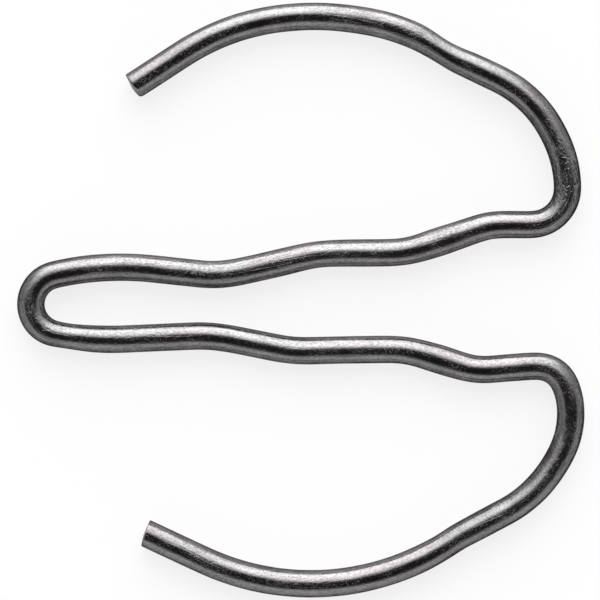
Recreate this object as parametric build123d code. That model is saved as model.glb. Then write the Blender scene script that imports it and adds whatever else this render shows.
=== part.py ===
"""Socket retaining ring, bent from one length of round spring wire, in millimetres.

The wire starts at one arm's tip, runs round the arm and down the flank, turns back at the heel into
one leg of the hairpin, goes round the hairpin's nose, and comes back the same way on the other side.
The hairpin goes through the cross hole of a socket and of the square drive inside it, and the two
arms snap into the groove round the socket. The ring lies flat, as it rests on a bench: the wire's
centre line is in a plane parallel to XY, the hairpin lies along X with its nose towards -X, and the
lowest line of the wire is at Z = 0.

Headings are in degrees from the hairpin's axis, and each is the wire's direction after a bend, going
outwards from the nose. The same tools bent both halves, so they share the bend radii and the waves'
headings. The rest of each half has its own headings and straight runs, because the real ring isn't
quite even.
"""
from build123d import *
import os

# Wire, and how its two ends were sheared: the skew is how far each cut is from square, in degrees, and
# is positive where the arm's outer side is left longer
wire_diameter = 2.7
upper_end_skew = 2.0
lower_end_skew = -7.0
upper_end_chamfer = 0.3
lower_end_chamfer = 0.2
trim_length = 2.0

# Bend radii to the wire's centre line, in order from the nose to an arm's tip
nose_radius = 2.95
belly_radius = 29.0
wave_radius = 6.5
heel_radius = 3.6
flank_radius = 12.0
jog_radius = 6.0
arm_radius = 24.9

# Headings of both halves, after the nose and after the first three waves
nose_heading = 12.0
neck_heading = 11.5
shoulder_heading = 0.5
crest_heading = 17.0

# Upper half: its own headings
upper_belly_heading = -7.0
upper_throat_heading = 0.0
upper_heel_heading = 90.0
upper_flank_heading = 153.5
upper_jog_heading = 146.0
upper_arm_heading = 211.5

# Upper half: straight run after each bend that has one
upper_belly_run = 5.6
upper_neck_run = 8.0
upper_shoulder_run = 7.2
upper_crest_run = 6.6
upper_throat_run = 3.2
upper_flank_run = 3.9
upper_tip_run = 5.6

# Lower half: its own headings, mirrored about the hairpin's axis
lower_belly_heading = -1.5
lower_throat_heading = -2.5
lower_heel_heading = 91.0
lower_flank_heading = 153.0
lower_jog_heading = 146.5
lower_arm_heading = 206.0

# Lower half: straight run after each bend that has one
lower_belly_run = 7.7
lower_neck_run = 6.8
lower_shoulder_run = 9.4
lower_crest_run = 5.2
lower_throat_run = 4.3
lower_flank_run = 5.0
lower_tip_run = 6.3

# Each half as a row of bends from the nose outwards: radius, heading after it, straight run after it
no_run = 0.0
upper_bends = [
    (nose_radius, nose_heading, no_run),
    (belly_radius, upper_belly_heading, upper_belly_run),
    (wave_radius, neck_heading, upper_neck_run),
    (wave_radius, shoulder_heading, upper_shoulder_run),
    (wave_radius, crest_heading, upper_crest_run),
    (wave_radius, upper_throat_heading, upper_throat_run),
    (heel_radius, upper_heel_heading, no_run),
    (flank_radius, upper_flank_heading, upper_flank_run),
    (jog_radius, upper_jog_heading, no_run),
    (arm_radius, upper_arm_heading, upper_tip_run + trim_length),
]
lower_bends = [
    (nose_radius, nose_heading, no_run),
    (belly_radius, lower_belly_heading, lower_belly_run),
    (wave_radius, neck_heading, lower_neck_run),
    (wave_radius, shoulder_heading, lower_shoulder_run),
    (wave_radius, crest_heading, lower_crest_run),
    (wave_radius, lower_throat_heading, lower_throat_run),
    (heel_radius, lower_heel_heading, no_run),
    (flank_radius, lower_flank_heading, lower_flank_run),
    (jog_radius, lower_jog_heading, no_run),
    (arm_radius, lower_arm_heading, lower_tip_run + trim_length),
]


def bend_half(bends, side):
    """Centre line of one half, from the nose outwards, as tangent arcs and straight runs.

    side is 1 for the upper half and -1 for the lower one, which is bent the other way round.
    """
    line = []
    point = Vector(0, 0)
    heading = 90.0
    for radius, new_heading, run in bends:
        turn = new_heading - heading
        direction = Vector(1, 0).rotate(Axis.Z, side * heading)
        if turn != 0:
            bend = JernArc(point, direction, radius, side * turn)
            line.append(bend)
            point = bend @ 1
            direction = bend % 1
        if run > 0:
            straight = Line(point, point + direction * run)
            line.append(straight)
            point = straight @ 1
        heading = new_heading
    return line


def shear_off(ring, last_run, side, skew, edge_break):
    """Cut the trim length off one arm, square to the wire but for the skew, and break the sharp edge."""
    outward = last_run % 1
    cut_centre = last_run @ 1 - outward * trim_length
    blade_face = Plane(origin=cut_centre, x_dir=(0, 0, 1), z_dir=outward.rotate(Axis.Z, side * skew))
    blade = blade_face * Box(
        2 * wire_diameter,
        2 * wire_diameter,
        2 * trim_length,
        align=(Align.CENTER, Align.CENTER, Align.MIN),
    )
    ring = ring - blade
    cut_face = ring.faces().sort_by_distance(cut_centre)[0]
    return chamfer(cut_face.edges(), edge_break)


# The two halves meet in the middle of the nose, which is one bend
upper_line = bend_half(upper_bends, 1)
lower_line = bend_half(lower_bends, -1)
nose = ThreePointArc(upper_line[0] @ 1, (0, 0), lower_line[0] @ 1)
pieces = upper_line[:0:-1] + [nose] + lower_line[1:]
centre_line = Wire([piece.edge() for piece in pieces])

# Round section, carried along the whole centre line
section = Plane(origin=centre_line @ 0, z_dir=centre_line % 0) * Circle(wire_diameter / 2)
ring = sweep(section, path=centre_line)
swept_volume = ring.volume
ring = shear_off(ring, upper_line[-1], 1, upper_end_skew, upper_end_chamfer)
ring = shear_off(ring, lower_line[-1], -1, lower_end_skew, lower_end_chamfer)

# The ring lies on its side, centred on its own outline
outline = ring.bounding_box()
ring = Pos(-outline.center().X, -outline.center().Y, -outline.min.Z) * ring
ring.label = "retaining_ring"

wire_length = centre_line.length - 2 * trim_length
print("wire length", round(wire_length, 2), "mm")
print("volume over section times length", round(swept_volume / (section.area * centre_line.length), 5))
print("outline", outline.size, "middle of the outline from the nose", outline.center())

os.makedirs("parts", exist_ok=True)
export_step(ring, "parts/retaining_ring.step")
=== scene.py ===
# %% [markdown]
# # A socket retaining ring, dressed for the camera
# The real ring is one length of round spring wire. A wavy hairpin goes through the cross hole of a socket,
# and two curved arms snap into the groove round it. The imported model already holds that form, so this
# lesson only gives it what a close look shows: soft bends, press marks, sheared ends and a drawn, oiled
# steel skin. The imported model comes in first, and its outer box is kept, because nothing here may be larger.
# Sizes are in millimetres throughout, and become metres when a mesh is made.

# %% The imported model
import bpy
import numpy as np
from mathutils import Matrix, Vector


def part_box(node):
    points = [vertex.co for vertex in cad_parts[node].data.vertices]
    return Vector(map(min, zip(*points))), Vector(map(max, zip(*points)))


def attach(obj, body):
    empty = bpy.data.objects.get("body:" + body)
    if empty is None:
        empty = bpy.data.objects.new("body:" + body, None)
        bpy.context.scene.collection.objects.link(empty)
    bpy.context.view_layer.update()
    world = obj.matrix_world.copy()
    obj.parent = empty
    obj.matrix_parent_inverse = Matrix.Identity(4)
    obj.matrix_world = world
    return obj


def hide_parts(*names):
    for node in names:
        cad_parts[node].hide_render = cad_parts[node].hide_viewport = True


MM = 0.001

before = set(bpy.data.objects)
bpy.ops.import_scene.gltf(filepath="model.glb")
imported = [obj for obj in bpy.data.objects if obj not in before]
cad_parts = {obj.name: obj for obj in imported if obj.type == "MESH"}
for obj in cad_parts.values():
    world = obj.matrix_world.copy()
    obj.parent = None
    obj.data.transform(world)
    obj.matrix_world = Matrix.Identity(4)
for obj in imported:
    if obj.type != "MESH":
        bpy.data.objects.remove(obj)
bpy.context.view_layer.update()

# %% [markdown]
# ## The bends
# A wire form could be drawn as a curve with a bevel, but then its bends would be guesses between points. A
# bender thinks in another way: bend by this much round this tool, feed this much straight wire, bend again.
# The same tools bent both halves, so their radii are one list, with the length over which each bend fades
# in and out. Each half then has its own rows, counted from the nose outwards: the wire's heading after the
# bend, in degrees from the hairpin's axis, and the straight run after it.

# %% Tools and bends
wire_radius = 1.35
first_heading = 90.0

# Radius and softness at the nose, belly, neck, shoulder, crest, throat, heel, flank, jog and arm
formers = [
    (2.95, 0.5),
    (29.0, 1.0),
    (6.5, 3.2),
    (6.5, 2.4),
    (6.5, 2.4),
    (6.5, 1.6),
    (3.6, 0.5),
    (12.0, 1.0),
    (6.0, 1.0),
    (24.9, 1.0),
]
# Heading after each of those bends and straight run after it
upper_half = [
    (12.0, 0.0),
    (-7.0, 5.6),
    (11.5, 8.0),
    (0.5, 7.2),
    (17.0, 6.6),
    (0.0, 3.2),
    (90.0, 0.0),
    (153.5, 3.9),
    (146.0, 0.0),
    (211.5, 5.6),
]
lower_half = [
    (12.0, 0.0),
    (-1.5, 7.7),
    (11.5, 6.8),
    (0.5, 9.4),
    (17.0, 5.2),
    (-2.5, 4.3),
    (91.0, 0.0),
    (153.0, 5.0),
    (146.5, 0.0),
    (206.0, 6.3),
]
print("each half is bent", len(formers), "times, the nose among them")


# %% Lengths and turns
def pieces_of(half):
    """Length, turn and softness of each bend and each run of one half, from the nose outwards.

    A bend's length is its radius times its turn in radians. A run turns by nothing.
    """
    radius, softness = np.array(formers).T
    heading, run = np.array(half).T
    turn = np.radians(np.diff(heading, prepend=first_heading))
    lengths = np.stack([np.abs(turn) * radius, run], axis=1).ravel()
    turns = np.stack([turn, np.zeros_like(turn)], axis=1).ravel()
    return np.array([lengths, turns, np.repeat(softness, 2)])


upper_pieces = pieces_of(upper_half)
lower_pieces = pieces_of(lower_half)
nose_at = upper_pieces[0].sum()
wire_length = nose_at + lower_pieces[0].sum()
print("wire", round(wire_length, 2), "mm long, its nose", round(nose_at, 2), "mm from the upper tip")

# %% [markdown]
# ## The centre line
# From here on the wire is one path, from the upper arm's tip round the nose to the lower arm's tip, and a
# place on it is a length from that tip. The heading is a broken line over the length. A real bend has no
# sudden start, so the heading is averaged over a short window before it is added up into points. The line
# starts a little before the wire and ends a little after it, so that the cuts have room to be skewed.

# %% Heading along the wire
window_samples = 21

path_lengths, path_turns, path_softness = np.concatenate([upper_pieces[:, ::-1], lower_pieces], axis=1)
corners = np.concatenate([[0.0], np.cumsum(path_lengths)])
corner_headings = np.concatenate([[0.0], np.cumsum(-path_turns)])
middles = (corners[1:] + corners[:-1]) / 2


def soft_heading(length):
    """Heading in radians at each length: the broken line's mean over a window, weighted as a triangle.

    The window reaches one softness to each side.
    """
    softness = np.interp(length, middles, path_softness)
    share = np.linspace(-1, 1, window_samples)
    weight = 1 - np.abs(share)
    seen = np.interp(length[:, None] + softness[:, None] * share, corners, corner_headings)
    return (seen * weight).sum(axis=1) / weight.sum()


print("all bends together turn the wire by", round(np.degrees(np.abs(path_turns).sum())), "degrees")

# %% Points along the wire
line_step = 0.02
spare_length = 1.0

# At the middle of its nose the wire heads along -Y
line_length = np.arange(-spare_length, wire_length + spare_length, line_step)
line_heading = soft_heading(line_length)
line_heading -= np.interp(nose_at, line_length, line_heading) + np.pi / 2
line_points = np.cumsum(np.stack([np.cos(line_heading), np.sin(line_heading)], axis=1) * line_step, axis=0)
print("centre line has", len(line_points), "points")

# %% [markdown]
# ## Bows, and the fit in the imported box
# A spring never lies quite as it was bent. In a dozen places the line bows to one side, by 0.04 to 0.15 mm.
# Each bow is a bell curve over the length, and the same curve serves for press marks and rubbed places
# further on. Soft bends reach out a few hundredths further than sharp ones, so the line is shrunk to the
# packed box at the end.

# %% Bows
# Middle of each bow, how far the line moves to its left there, and reach
bows = [
    (11.5, 0.12, 6.0),
    (27.0, 0.08, 2.5),
    (29.6, 0.04, 1.2),
    (32.9, -0.15, 1.9),
    (46.5, -0.05, 2.5),
    (61.0, -0.09, 3.0),
    (77.5, -0.11, 4.5),
    (136.5, -0.08, 4.5),
    (154.5, -0.09, 3.0),
    (162.2, 0.09, 1.5),
    (165.1, -0.14, 1.5),
    (169.3, 0.13, 2.6),
]


def bells(length, hills):
    """Height of each bell curve of a list at each length, with the curves along the last axis.

    A hill is its middle, its height there and its reach. Its height is multiplied by e to the power of
    minus the square of the distance from its middle over its reach.
    """
    middle, height, reach = np.array(hills).T
    return height * np.exp(-(((length[..., None] - middle) / reach) ** 2))


bowed = bells(line_length, bows).sum(axis=-1)
to_the_left = np.stack([-np.sin(line_heading), np.cos(line_heading)], axis=1)
line_points += to_the_left * bowed[:, None]
line_heading += np.gradient(bowed, line_step)
print("the line bows by up to", round(np.abs(bowed).max(), 3), "mm")

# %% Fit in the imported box
on_the_wire = (line_length > 0) & (line_length < wire_length)
line_low, line_high = line_points[on_the_wire].min(axis=0), line_points[on_the_wire].max(axis=0)
node_low, node_high = (np.array(corner)[:2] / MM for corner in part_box("retaining_ring"))
line_room = node_high - node_low - 2 * wire_radius
fit = (line_room / (line_high - line_low)).min()
line_points = (line_points - (line_low + line_high) / 2) * fit + (node_low + node_high) / 2
line_length *= fit
wire_length *= fit
print("line shrunk to", round(fit, 5), "of its size, wire now", round(wire_length, 2), "mm long")

# %% [markdown]
# ## The section
# The wire was round before it was bent. Each former pressed it a little: at the upper arm's jog the wire is
# a tenth narrower, past the nose it is narrower too, and on two crests it was squeezed wider. Each press
# mark is a smooth hump along the wire, and every mark makes the wire a little lower as well.

# %% Press marks
# Middle of each mark, the share by which it changes the half width there, and reach
press_marks = [
    (32.5, -0.105, 2.2),
    (55.5, -0.02, 2.0),
    (66.7, 0.055, 2.2),
    (78.7, -0.03, 2.4),
    (114.1, -0.07, 2.0),
    (151.0, 0.06, 2.0),
    (185.2, -0.035, 2.4),
]
lowered_share = 0.5


def half_widths(length):
    """Half width across, in the plane of the ring, and half height up, at each length.

    The half width grows by the sum of the press marks' bell curves, and the half height shrinks by a share
    of that change, whichever way it goes.
    """
    change = bells(length, press_marks).sum(axis=-1)
    across = wire_radius * (1 + change)
    up = wire_radius * (1 - lowered_share * np.abs(change))
    return across, up


plain_narrow_and_wide = np.array([20.0, 32.5, 66.7])
print("half width and half height", np.round(half_widths(plain_narrow_and_wide), 3).tolist())

# %% [markdown]
# ## Dents
# Rollers and jaws also left shallow dents all over the wire, too shallow to see by themselves, but a mirror
# shows them: the edges of its light and dark stripes wander. A displacement texture could do that, but then
# nothing would hold it inside the box. Here they are a sum of waves that run along and round the wire, and
# they only take metal away.

# %% Dents
dent_waves = 40
dent_depth = 0.006
dent_lengths = (1.6, 9.0)
dent_rounds = 4
dent_slope = 0.7
dent_seed = 11


def dents(length, angle):
    """Depth in mm of the dents for rows of lengths and a row of angles round the wire.

    Each wave is a sine of the length over its own wavelength plus the angle times a whole number of rounds,
    and long waves are higher. Their sum is scaled to a mean square of one, squeezed between minus one and
    one by a hyperbolic tangent, and shifted so that it is never below nothing.
    """
    chance = np.random.default_rng(dent_seed)
    wavelength = np.exp(chance.uniform(*np.log(dent_lengths), dent_waves))
    rounds = chance.integers(-dent_rounds, dent_rounds + 1, dent_waves)
    start = chance.uniform(0, 2 * np.pi, dent_waves)
    total = np.zeros(np.broadcast_shapes(length.shape, angle.shape))
    for one_length, one_rounds, one_start in zip(wavelength, rounds, start):
        total += np.sin(2 * np.pi * length / one_length + one_rounds * angle + one_start) * one_length
    total *= np.sqrt(2 / (wavelength**2).sum())
    return dent_depth * (1 + np.tanh(total * dent_slope))


print("dents are at most", 2 * dent_depth, "mm deep")

# %% [markdown]
# ## The sheared ends
# The wire was cut off with shears. A sheared end isn't a neat disc: on the side where the blade came in the
# edge is drawn down into a soft lip, on the far side it stays sharp, and the face between them is domed,
# smooth at first and rough where the metal tore. Each end here is a cut plane, skewed as measured, with a
# dome, and a lip that is deeper on one side. The whole wire is one grid of rows and angles, so the ends join
# the skin without a seam. An angle of 0 is the wire's left on the way from the upper tip to the lower one.

# %% The two ends
# Depths are in mm: the lip's least and most, the dome, and how far the dome stands out past the wire's end.
# The lip is deepest at deep_side, in degrees, and the skew is above 0 where the left side is longer.
upper_end = {"skew": -1.0, "deep_side": 180.0, "least": 0.07, "most": 0.45, "dome": 0.15, "proud": 0.02}
lower_end = {"skew": -6.0, "deep_side": 20.0, "least": 0.1, "most": 0.14, "dome": 0.12, "proud": 0.06}

# The face's rim is drawn in by a share of the lip's depth. Torn metal lies a step deeper, under ripples that
# are lower where the face is still smooth.
rim_drawn_in = 0.75
tear_step = 0.06
tear_softness = 0.08
ripple_height = 0.02
ripple_where_smooth = 0.3
ripple_waves = 41.0
ripple_wander = 3.0
ripple_rounds = 5
ripple_swirl = 9.0

angles = 64
lip_rows = 8
face_rows = 12
phi = np.arange(angles) * 2 * np.pi / angles
quarter = np.linspace(0, np.pi / 2, lip_rows + 1)


def ripples(across_cut, share):
    """Ripples of torn metal on a cut face, from minus one to one.

    They are a sine of the place across the cut, whose crests wander twice on the way round, times a sine of
    a few rounds of the angle, which swirls as the share of the radius grows.
    """
    crests = np.sin(ripple_waves * across_cut + ripple_wander * np.sin(2 * phi))
    return crests * np.sin(ripple_rounds * phi + ripple_swirl * share)


def end_patch(end):
    """Depth behind the wire's end and share of the radius, for the rows from an end's face to its lip.

    The face's rows step from near the middle to the lip, and its dome falls off with the square of the
    share. The half away from the lip is torn, with a soft step between: one over one plus an exponential.
    The lip is a quarter of an ellipse, deeper on one side: its depth is the least plus a share of the rest
    that follows half of one plus a cosine.
    """
    turned = phi - np.radians(end["deep_side"])
    lip = end["least"] + (end["most"] - end["least"]) * 0.5 * (1 + np.cos(turned))
    lip_share = 1 - rim_drawn_in * lip / wire_radius * (1 - np.sin(quarter))[:, None]
    lip_depth = end["dome"] - end["proud"] + lip * (1 - np.cos(quarter))[:, None]

    inner = np.linspace(0, 1, face_rows + 1)[1:-1, None]
    face_share = inner * lip_share[0]
    across_cut = face_share * np.cos(turned)
    torn = 1 / (1 + np.exp(across_cut / tear_softness + 1))
    rippled = ripple_height * ripples(across_cut, face_share) * (ripple_where_smooth + torn)
    face_depth = (tear_step * torn + rippled) * (1 - inner**4)
    face_depth = face_depth + end["dome"] * inner**2 - end["proud"]
    return np.concatenate([face_depth, lip_depth]), np.concatenate([face_share, lip_share])


upper_depth, upper_share = end_patch(upper_end)
lower_depth, lower_share = end_patch(lower_end)
print("each end has", len(upper_depth), "rows")

# %% Rows of the whole grid
row_step = 0.2

skin_rows = int(round((wire_length - upper_end["most"] - lower_end["most"]) / row_step))
skin_part = np.linspace(0, 1, skin_rows + 1)[1:-1, None]
skin_length = upper_depth[-1] + skin_part * (wire_length - upper_depth[-1] - lower_depth[-1])
row_length = np.concatenate([upper_depth, skin_length, wire_length - lower_depth[::-1]])
row_share = np.concatenate([upper_share, np.ones_like(skin_length), lower_share[::-1]])

across, up = half_widths(row_length)
dented = row_share * dents(row_length, phi)
row_side = (across * row_share - dented) * np.cos(phi)
row_height = (up * row_share - dented) * np.sin(phi)
print("grid of", row_length.shape[0], "rows by", angles, "angles")

# %% Skew of the cuts
skew_reach = 3.0


def ease(share):
    """A smooth step from 0 to 1: three times the share's square less twice its cube, held outside them."""
    share = np.clip(share, 0, 1)
    return share * share * (3 - 2 * share)


# A skewed row leans along the wire by its offset to the left times a tangent, less and less far from the cut
upper_lean = -np.tan(np.radians(upper_end["skew"])) * ease(1 - row_length / skew_reach)
lower_lean = np.tan(np.radians(lower_end["skew"])) * ease(1 - (wire_length - row_length) / skew_reach)
row_length = row_length + row_side * (upper_lean + lower_lean)
print("rows lie from", round(row_length.min(), 3), "to", round(row_length.max(), 3), "mm along the wire")

# %% [markdown]
# ## One closed mesh
# The grid becomes the mesh: a square between each two rows and angles, and a fan of triangles round the
# middle of each end. The faces' corners go round so that every face points outwards.


# %% Corners
def place_on_wire(length, side, height):
    """Point of the ring for a length, an offset to the left of the wire's way and a height over its centre.

    It is the centre line's point, plus the offset along the left normal, plus the height straight up.
    """
    x, y, heading = (np.interp(length, line_length, v) for v in (*line_points.T, line_heading))
    return np.stack([x - side * np.sin(heading), y + side * np.cos(heading), wire_radius + height], axis=-1)


grid_points = place_on_wire(row_length, row_side, row_height).reshape(-1, 3)
pole_length = np.array([0.0, wire_length])
pole_points = place_on_wire(pole_length, np.zeros(2), np.zeros(2))
points = np.concatenate([grid_points, pole_points]) * MM
print("mesh has", len(points), "corners, the last two in the middles of the ends")

# %% Faces
rows = row_length.shape[0]
number = np.arange(rows * angles).reshape(rows, angles)
following = np.roll(number, -1, axis=1)
squares = np.stack([number[:-1], following[:-1], following[1:], number[1:]], axis=-1).reshape(-1, 4)
first_pole, last_pole = rows * angles, rows * angles + 1
first_fan = np.stack([np.full(angles, first_pole), following[0], number[0]], axis=-1)
last_fan = np.stack([np.full(angles, last_pole), number[-1], following[-1]], axis=-1)

wire_mesh = bpy.data.meshes.new("bent_wire")
wire_mesh.from_pydata(points.tolist(), [], squares.tolist() + first_fan.tolist() + last_fan.tolist())
wire_mesh.polygons.foreach_set("use_smooth", np.ones(len(wire_mesh.polygons), dtype=bool))

# The two cut faces take the second material, and all the rest takes the first
cut_rows = face_rows - 1
square_row = np.arange(rows - 1)
of_cut = np.repeat((square_row < cut_rows) | (square_row >= rows - 1 - cut_rows), angles)
slot_number = np.concatenate([of_cut, np.ones(2 * angles)]).astype(np.int32)
wire_mesh.polygons.foreach_set("material_index", slot_number)
print("mesh has", len(wire_mesh.polygons), "faces,", int(slot_number.sum()), "of them on the cuts")

# %% [markdown]
# ## What each corner knows
# Every corner stores where it is on the wire, as an attribute in millimetres: sideways, upwards and along.
# Patterns that read it follow the wire round each bend, as drawing lines do. A second attribute says how
# much the surface was rubbed there, from a short list of handled places. A third is painted shade: how much
# the steel's colour is darkened along the wire's sides, to stand in for the dark reflections on its rims.
# It is none on the wire's top and bottom, and more on some stretches and sides than on others.


# %% Place on the wire
def store(name, kind, field, values):
    """Puts values, one for each corner, into the mesh as an attribute."""
    attribute = wire_mesh.attributes.new(name, kind, "POINT")
    attribute.data.foreach_set(field, values.ravel().astype(np.float32))


own_place = np.stack([row_side, row_height, row_length], axis=-1).reshape(-1, 3)
pole_place = np.stack([np.zeros(2), np.zeros(2), pole_length], axis=-1)
wire_place = np.concatenate([own_place, pole_place])
store("wire_place", "FLOAT_VECTOR", "vector", wire_place)
print("places run up to", round(wire_place[:, 2].max(), 2), "mm along the wire")

# %% Rubbed places
# Middle of each place, how rubbed it is, and reach
rubbed_places = [
    (23.9, 0.6, 3.0),
    (30.2, 0.7, 3.0),
    (50.9, 1.0, 5.0),
    (66.7, 0.4, 4.0),
    (75.0, 0.4, 5.0),
    (83.0, 0.65, 4.0),
    (91.0, 0.55, 4.0),
    (99.0, 0.4, 4.0),
    (111.7, 0.6, 4.0),
    (121.5, 0.5, 6.0),
    (137.0, 0.3, 8.0),
    (163.5, 0.4, 4.0),
    (171.0, 0.65, 5.0),
    (180.5, 0.5, 5.0),
    (200.8, 0.4, 4.0),
    (211.0, 0.5, 4.0),
]

# How rubbed the wire is, from 0 to 1, is the highest of the places' bell curves
rubbed = bells(wire_place[:, 2], rubbed_places).max(axis=-1)
store("rubbed", "FLOAT", "value", rubbed)
print("rubbed by", round(rubbed.mean(), 2), "on average")

# %% Painted rim shade
# Length, and the painted rim shade on the left side and on the right side, on the way to the lower tip
rim_shade_by_length = [
    (0.0, 0.0, 0.6),
    (38.0, 0.0, 0.6),
    (46.0, 0.9, 0.85),
    (55.0, 0.9, 0.85),
    (62.0, 0.5, 0.15),
    (98.0, 0.6, 0.0),
    (108.0, 0.8, 0.8),
    (116.0, 0.2, 0.6),
    (158.0, 0.3, 0.6),
    (168.0, 0.85, 0.85),
    (180.0, 0.85, 0.55),
    (190.0, 0.5, 0.3),
    (220.0, 0.5, 0.3),
]
rim_shade_top, rim_shade_side = 0.86, 0.5


def painted_rim_shade(length, side, height):
    """How much painted rim shade there is at each place, from 0 to 1.

    It rises smoothly as the height sinks from the top share of the wire's radius to the side share, and its
    most is read from the list for the left or the right side.
    """
    at, on_left, on_right = np.array(rim_shade_by_length).T
    most = np.where(side > 0, np.interp(length, at, on_left), np.interp(length, at, on_right))
    return most * ease((rim_shade_top - np.abs(height) / wire_radius) / (rim_shade_top - rim_shade_side))


# Painted shade: the steel's colour is darkened along the wire's sides, to stand in for dark reflections on its
# rims
rim_shaded = np.concatenate([painted_rim_shade(row_length, row_side, row_height).ravel(), np.zeros(2)])
store("painted_rim_shade", "FLOAT", "value", rim_shaded)
print("film left", round(rim_shaded.mean(), 2), "on average")

# %% The ring
wire_mesh.validate()
wire_mesh.update()
ring = bpy.data.objects.new("bent_wire", wire_mesh)
bpy.context.scene.collection.objects.link(ring)
print("bent_wire stores its place, rubbing and film at", len(wire_mesh.vertices), "corners")

# %% [markdown]
# ## Helpers for nodes
# Materials here are made of nodes. The first helper makes one node, sets its settings and fills its inputs:
# a number or colour is set on the socket, and another node's socket is linked to it. The others put together
# the few kinds of arithmetic that the grain and the room need.


# %% Making nodes
def add_node(tree, kind, inputs=None, **settings):
    """Makes one node in a tree. Inputs are given by socket name or number."""
    node = tree.nodes.new(kind)
    for name, value in settings.items():
        setattr(node, name, value)
    for key, value in (inputs or {}).items():
        if isinstance(value, bpy.types.NodeSocket):
            tree.links.new(value, node.inputs[key])
        else:
            node.inputs[key].default_value = value
    return node


def calculate(tree, operation, *values):
    """The result of one Math node."""
    return add_node(tree, "ShaderNodeMath", dict(enumerate(values)), operation=operation).outputs[0]


def product(tree, value, *others):
    """The value multiplied by each of the others."""
    for other in others:
        value = calculate(tree, "MULTIPLY", value, other)
    return value


def weighted_sum(tree, total, *parts):
    """The total plus each part's value times its weight."""
    for value, weight in parts:
        total = calculate(tree, "MULTIPLY_ADD", value, weight, total)
    return total


def remap(tree, value, start, end, low=0.0, high=1.0, smooth=True):
    """The value taken from the range start to end into the range low to high, and held there beyond it."""
    kind = "SMOOTHSTEP" if smooth else "LINEAR"
    inputs = {0: value, 1: start, 2: end, 3: low, 4: high}
    return add_node(tree, "ShaderNodeMapRange", inputs, interpolation_type=kind).outputs[0]


# %% [markdown]
# ## The grain of drawn wire
# Spring wire is pulled through a die, which leaves very fine lines along it. Handling adds pits, specks and
# short scratches. On a mirror-like metal these show as sparks in the dark stripe and as grey spots in the
# bright one. Both the skin and the cut faces need them, so they are one node group with its own inputs,
# placed in each material. It puts out a tone, a roughness and a height, and leaves the shader alone.


# %% A noise that follows the wire
def wire_noise(tree, place, scale, along, detail=2.0, roughness=0.5, turn=(0.0, 0.0, 0.0)):
    """A noise texture's value, about 0.5 on average, at a place on the wire.

    The place is turned by three angles in radians, and then only its part along the wire is multiplied by
    a share, so that a small share draws the noise out into lines.
    """
    turned = add_node(tree, "ShaderNodeMapping", {"Vector": place, "Rotation": turn}).outputs[0]
    stretch = {0: turned, 1: (1.0, 1.0, along)}
    drawn_out = add_node(tree, "ShaderNodeVectorMath", stretch, operation="MULTIPLY").outputs[0]
    inputs = {"Vector": drawn_out, "Scale": scale, "Detail": detail, "Roughness": roughness}
    return add_node(tree, "ShaderNodeTexNoise", inputs).outputs[0]


# %% The group and its noises
grain = bpy.data.node_groups.new("steel_grain", "ShaderNodeTree")
grain.interface.new_socket("Place", in_out="INPUT", socket_type="NodeSocketVector")
# The painted rim shade comes in as an input, and darkens the tone along the wire's sides
for name in ("Rubbed", "Painted Rim Shade", "Speck Depth"):
    grain.interface.new_socket(name, in_out="INPUT", socket_type="NodeSocketFloat")
for name in ("Tone", "Roughness", "Height"):
    grain.interface.new_socket(name, in_out="OUTPUT", socket_type="NodeSocketFloat")
given = grain.nodes.new("NodeGroupInput").outputs
result = grain.nodes.new("NodeGroupOutput")
spot = given["Place"]
handled = given["Rubbed"]

die_lines = wire_noise(grain, spot, scale=4.5, along=0.07, detail=3.0, roughness=0.6)
specks = wire_noise(grain, spot, scale=5.5, along=0.6, roughness=0.65)
pits = wire_noise(grain, spot, scale=7.5, along=0.7, detail=1.0)
patches = wire_noise(grain, spot, scale=1.1, along=0.4)
nicks = wire_noise(grain, spot, scale=3.6, along=0.55, detail=1.0)
streaks = wire_noise(grain, spot, scale=2.6, along=0.05, roughness=0.55)
draw_marks = wire_noise(grain, spot, scale=4.2, along=0.05, detail=0.0, turn=(0.03, 0.04, 0.0))
scratches = wire_noise(grain, spot, scale=5.0, along=0.16, detail=0.0, turn=(0.3, -0.55, 0.0))
print("grain group has", len(grain.nodes), "nodes for its noises")

# %% Marks
# Handled places have more draw marks, scratches, pits, nicks and specks. Pin holes come in patches.
pitted = weighted_sum(grain, 0.6, (handled, 0.6))
nicked = weighted_sum(grain, 0.1, (calculate(grain, "POWER", handled, 4.0), 2.3))
scratched = weighted_sum(grain, 0.1, (handled, 0.9))

# A mark begins where its noise passes the start, and is whole from the end on
draw_lines = product(grain, remap(grain, draw_marks, start=0.60, end=0.64), handled)
worn = product(grain, remap(grain, scratches, start=0.66, end=0.71), scratched)
pit_marks = product(grain, remap(grain, pits, start=0.56, end=0.70), pitted)
nick_marks = product(grain, remap(grain, nicks, start=0.52, end=0.64), nicked)
pin_patches = remap(grain, patches, start=0.4, end=0.6, low=0.25)
pin_holes = product(grain, remap(grain, pits, start=0.61, end=0.65), pin_patches)
print("grain group has", len(grain.nodes), "nodes with its marks")

# %% Height, tone and roughness
# Heights are shares of the bump's distance: lines and specks stand up, and marks go down
speck_share = 0.8
height = weighted_sum(
    grain,
    product(grain, specks, given["Speck Depth"], pitted, speck_share),
    (die_lines, 0.5),
    (worn, -1.2),
    (draw_lines, -1.5),
    (pit_marks, -0.25),
    (pin_holes, -0.7),
    (nick_marks, -1.4),
)

# The tone mixes dark and light steel: about 0.65 on clean metal, and near 0 where the painted rim shade is
# whole
tone_without_noise = -0.38
tone = weighted_sum(
    grain,
    tone_without_noise,
    (specks, 1.0),
    (patches, 0.6),
    (pit_marks, -0.2),
    (nick_marks, -0.2),
    (streaks, 0.5),
    (given["Painted Rim Shade"], -0.65),
)

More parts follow.
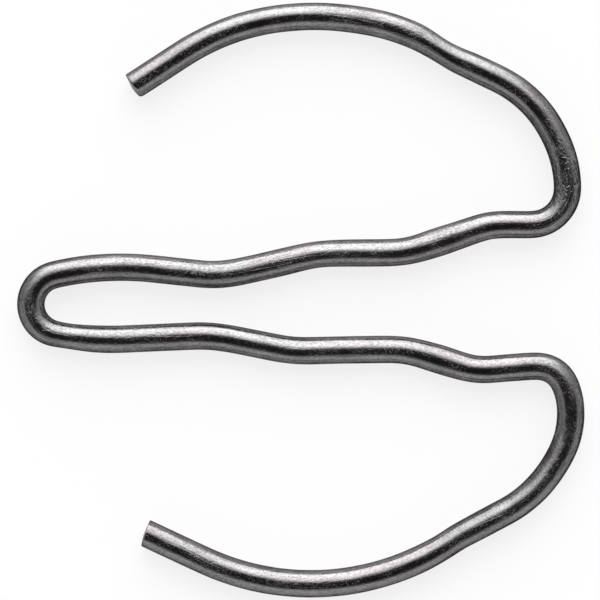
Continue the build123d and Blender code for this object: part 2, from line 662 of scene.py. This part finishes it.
# Rubbing dulls the surface until it begins to polish it, so the dullest places are rubbed about 0.6
dull_limit = 1.2
dulled = product(grain, handled, calculate(grain, "SUBTRACT", dull_limit, handled))
rough = weighted_sum(grain, 0.0, (worn, 0.12), (patches, 0.08), (dulled, 0.14))

grain.links.new(tone, result.inputs["Tone"])
grain.links.new(rough, result.inputs["Roughness"])
grain.links.new(height, result.inputs["Height"])
print("grain group has", len(grain.nodes), "nodes in all")

# %% [markdown]
# ## Steel for the skin and for the cut faces
# The skin is dark, lightly oiled steel: a metal whose grey leans a little to red in patches, and whose rim
# reflects less than clean metal would, through a low edge tint and through painted shade that darkens its
# colour along the sides. The cut faces are the same steel without the drawn skin, so they are brighter and
# rougher.

# %% How a steel is made
green_cast = (0.98, 1.0, 0.995, 1.0)
pink_cast = (1.015, 0.975, 0.995, 1.0)


def mix(tree, share, first, second, blend="MIX"):
    """The colour that a Mix node makes of two. Its sockets 0, 6 and 7 are the share and the colours."""
    inputs = {0: share, 6: first, 7: second}
    return add_node(tree, "ShaderNodeMix", inputs, data_type="RGBA", blend_type=blend).outputs[2]


def steel(name, light, dark, roughness, edge_tint, speck_depth, bump_metres):
    """A steel whose colour runs from dark to light with the grain's tone, and whose bumps follow it.

    The colour is that mix times a faint cast, which drifts between green and pink. The roughness is the
    steel's own plus the grain's.
    """
    material = bpy.data.materials.new(name)
    material.use_nodes = True
    tree = material.node_tree
    shader = tree.nodes["Principled BSDF"]
    place = add_node(tree, "ShaderNodeAttribute", attribute_name="wire_place").outputs["Vector"]
    rubbed_here = add_node(tree, "ShaderNodeAttribute", attribute_name="rubbed").outputs["Fac"]
    # Painted rim shade, read from the mesh, darkens the colour along the wire's sides
    rim_shade_here = add_node(tree, "ShaderNodeAttribute", attribute_name="painted_rim_shade").outputs["Fac"]
    inputs = {"Place": place, "Rubbed": rubbed_here, "Painted Rim Shade": rim_shade_here, "Speck Depth": speck_depth}
    grained = add_node(tree, "ShaderNodeGroup", inputs, node_tree=grain).outputs

    metal = mix(tree, grained["Tone"], dark, light)
    drift = remap(tree, wire_noise(tree, place, scale=0.45, along=0.3, detail=1.0), start=0.38, end=0.62)
    colour = mix(tree, 1.0, metal, mix(tree, drift, green_cast, pink_cast), blend="MULTIPLY")
    rough_here = calculate(tree, "ADD", grained["Roughness"], roughness)
    bump = add_node(tree, "ShaderNodeBump", {"Height": grained["Height"], "Distance": bump_metres})
    tree.links.new(colour, shader.inputs["Base Color"])
    tree.links.new(rough_here, shader.inputs["Roughness"])
    tree.links.new(bump.outputs["Normal"], shader.inputs["Normal"])
    shader.inputs["Metallic"].default_value = 1.0
    shader.inputs["Specular Tint"].default_value = edge_tint
    return material


# %% The two steels
skin_steel = steel(
    "drawn_steel",
    light=(0.33, 0.325, 0.325, 1.0),
    dark=(0.05, 0.049, 0.049, 1.0),
    roughness=0.13,
    edge_tint=(0.3, 0.3, 0.3, 1.0),
    speck_depth=1.0,
    bump_metres=0.0095 * MM,
)
cut_steel = steel(
    "sheared_steel",
    light=(0.42, 0.41, 0.4, 1.0),
    dark=(0.12, 0.115, 0.115, 1.0),
    roughness=0.24,
    edge_tint=(0.7, 0.7, 0.7, 1.0),
    speck_depth=2.0,
    bump_metres=0.02 * MM,
)
wire_mesh.materials.append(skin_steel)
wire_mesh.materials.append(cut_steel)
print("materials", [m.name for m in wire_mesh.materials])

# %% What the ring stands for
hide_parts("retaining_ring")
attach(ring, "root")
print("bent_wire stands for retaining_ring")

# %% [markdown]
# ## The floor
# The ring lies on a white sheet that is lit from behind, as on a light table, so its own glow makes most of
# its white and the ring's shadow on it stays pale. The sheet is large, so that views from the side see no
# edge of it. Only rays from the camera and rays mirrored by the metal see the glow, through Light Path, so
# that it puts no more light on anything.

# %% Floor
floor_half_metres = 6.0
floor_corners = np.array([(-1, -1, 0), (1, -1, 0), (1, 1, 0), (-1, 1, 0)]) * floor_half_metres
floor_mesh = bpy.data.meshes.new("floor")
floor_mesh.from_pydata(floor_corners.tolist(), [], [(0, 1, 2, 3)])
floor = bpy.data.objects.new("floor", floor_mesh)
bpy.context.scene.collection.objects.link(floor)
print("floor is", 2 * floor_half_metres, "m wide")

# %% Lit sheet
sheet_colour = (0.2, 0.2, 0.2, 1.0)
glow_colour = (1.0, 1.0, 1.0, 1.0)
glow_strength = 0.81

sheet = bpy.data.materials.new("lit_sheet")
sheet.use_nodes = True
sheet_tree = sheet.node_tree
sheet_shader = sheet_tree.nodes["Principled BSDF"]
ray = add_node(sheet_tree, "ShaderNodeLightPath").outputs
mirrored = calculate(sheet_tree, "MAXIMUM", ray["Is Glossy Ray"], ray["Is Transmission Ray"])
seen = calculate(sheet_tree, "MAXIMUM", ray["Is Camera Ray"], mirrored)
glow = product(sheet_tree, seen, glow_strength)
sheet_tree.links.new(glow, sheet_shader.inputs["Emission Strength"])
sheet_shader.inputs["Emission Color"].default_value = glow_colour
sheet_shader.inputs["Base Color"].default_value = sheet_colour
sheet_shader.inputs["Roughness"].default_value = 1.0
sheet_shader.inputs["Specular IOR Level"].default_value = 0.0
floor_mesh.materials.append(sheet)
print("sheet glows at", glow_strength)

# %% [markdown]
# ## The light
# A shiny wire shows its surroundings more than its own colour, so the light is built as a room that the wire
# can mirror. Straight above is the dark space round the camera, which draws the black stripe along the wire's
# crown. A wide soft box leans over from the far side, which draws the white band, and its lower corners fade
# away. The other walls are grey: the near one is the brightest and begins highest, and the others darken
# towards the floor. A world shader can hold such a room with no lamp at all: each direction is turned into an
# angle down from straight up and an angle round from the far side, and smooth steps of those two angles make
# the walls.

# %% Angles of a direction
world = bpy.data.worlds.new("studio")
bpy.context.scene.world = world
world.use_nodes = True
sky = world.node_tree
direction = add_node(sky, "ShaderNodeTexCoord").outputs["Generated"]
parts = add_node(sky, "ShaderNodeSeparateXYZ", {0: direction}).outputs
down = calculate(sky, "DEGREES", calculate(sky, "ARCCOSINE", parts["Z"]))
turned_round = calculate(sky, "DEGREES", calculate(sky, "ARCTAN2", parts["X"], parts["Y"]))
aside = calculate(sky, "ABSOLUTE", turned_round)
print("angles made with", len(sky.nodes), "nodes")

# %% Walls
side_wall_strength = 0.66
near_wall_strength = 0.9
dark_cap = 0.03
# Ranges in degrees: where the near wall takes over, where the walls begin, how much later they begin away
# from the near side, and where the side walls darken towards the floor
near_round = (100.0, 150.0)
walls_down = (38.0, 60.0)
late_round = (150.0, 178.0)
late_by = 4.0
darker_down = (62.0, 90.0)
darker_share = 0.3

near_share = remap(sky, aside, *near_round)
strengths = (side_wall_strength, near_wall_strength)
wall = remap(sky, near_share, 0.0, 1.0, *strengths, smooth=False)
late = calculate(sky, "SUBTRACT", down, remap(sky, aside, *late_round, late_by, 0.0))
darker = remap(sky, down, *darker_down, 0.0, darker_share)
darker = product(sky, darker, calculate(sky, "SUBTRACT", 1.0, near_share))
wall = product(sky, wall, remap(sky, late, *walls_down), calculate(sky, "SUBTRACT", 1.0, darker))
print("walls made, room has", len(sky.nodes), "nodes")

# %% Soft box
box_strength = 3.8
light_colour = (1.0, 0.99, 0.99, 1.0)
# Ranges in degrees: where the box grows to full strength, and where its lower corners fade
box_round = (90.0, 0.0)
box_down = (8.0, 44.0)
corner_round = (22.0, 54.0)
corner_down = (40.0, 72.0)

corner = product(sky, remap(sky, aside, *corner_round), remap(sky, down, *corner_down))
whole_box = product(sky, remap(sky, aside, *box_round), remap(sky, down, *box_down))
soft_box = product(sky, whole_box, calculate(sky, "SUBTRACT", 1.0, corner))
light = weighted_sum(sky, calculate(sky, "ADD", wall, dark_cap), (soft_box, box_strength))
background = sky.nodes["Background"]
sky.links.new(light, background.inputs["Strength"])
background.inputs["Color"].default_value = light_colour
print("room has", len(sky.nodes), "nodes in all")

# %% [markdown]
# ## The camera
# The camera looks straight down. A long lens keeps the wire equally thick over the whole picture. The ring
# lies turned by one degree in the picture, so the camera is turned by one degree the other way.

# %% Camera
picture_width = 58.68
picture_turn = -1.0
picture_centre = (-0.01, 0.03)

camera_data = bpy.data.cameras.new("camera")
camera_data.lens = 200.0
camera_data.sensor_width = 36.0
camera = bpy.data.objects.new("camera", camera_data)
bpy.context.scene.collection.objects.link(camera)
camera_distance = picture_width * camera_data.lens / camera_data.sensor_width
camera.location = [v * MM for v in (*picture_centre, wire_radius + camera_distance)]
camera.rotation_euler = (0.0, 0.0, np.radians(picture_turn))
bpy.context.scene.camera = camera
bpy.context.scene.view_settings.view_transform = "Standard"
print("camera", round(camera_distance), "mm above the wire")
